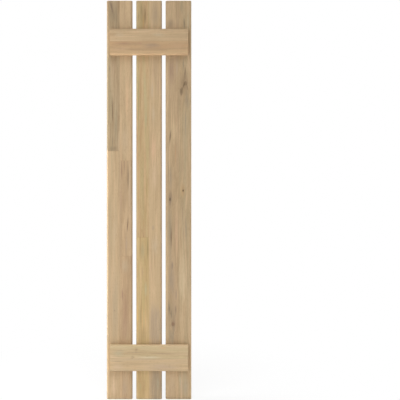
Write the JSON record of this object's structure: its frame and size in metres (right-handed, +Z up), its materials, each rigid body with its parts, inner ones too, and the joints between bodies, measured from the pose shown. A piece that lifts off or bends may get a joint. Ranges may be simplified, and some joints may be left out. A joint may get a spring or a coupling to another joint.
{
  "type": "board and batten shutter",
  "caption": "Tall open-spaced exterior shutter: vertical eased-edge boards held side by side by cross battens near the top and bottom, bare glued hardwood staves.",
  "frame": {"origin": "on the boards' flat back face, the plane that lies on the wall, at the middle of the shutter's width and height", "axes": "+Z up along the boards, +X to the right seen from the front, +Y from the front through to the wall; the show face looks towards -Y"},
  "size_m": [0.2922, 0.0381, 1.3716],
  "materials": {
    "board_wood": "bare sanded hardwood",
    "batten_wood": "bare sanded hardwood",
    "screw_steel": "zinc plated"
  },
  "bodies": {
    "root": {"left_board_outer_stave_top": "board_wood", "left_board_outer_stave_bottom": "board_wood", "left_board_inner_stave_top": "board_wood", "left_board_inner_stave_middle": "board_wood", "left_board_inner_stave_bottom": "board_wood", "middle_board_left_stave_top": "board_wood", "middle_board_left_stave_bottom": "board_wood", "middle_board_right_stave": "board_wood", "right_board_inner_stave": "board_wood", "right_board_outer_stave": "board_wood", "top_batten_upper_stave": "batten_wood", "top_batten_lower_stave": "batten_wood", "bottom_batten_upper_stave": "batten_wood", "bottom_batten_lower_stave": "batten_wood", "top_screw_left_outer": "screw_steel", "top_screw_left_inner": "screw_steel", "top_screw_middle_left": "screw_steel", "top_screw_middle_right": "screw_steel", "top_screw_right_inner": "screw_steel", "top_screw_right_outer": "screw_steel", "bottom_screw_left_outer": "screw_steel", "bottom_screw_left_inner": "screw_steel", "bottom_screw_middle_left": "screw_steel", "bottom_screw_middle_right": "screw_steel", "bottom_screw_right_inner": "screw_steel", "bottom_screw_right_outer": "screw_steel"}
  },
  "joints": []
}
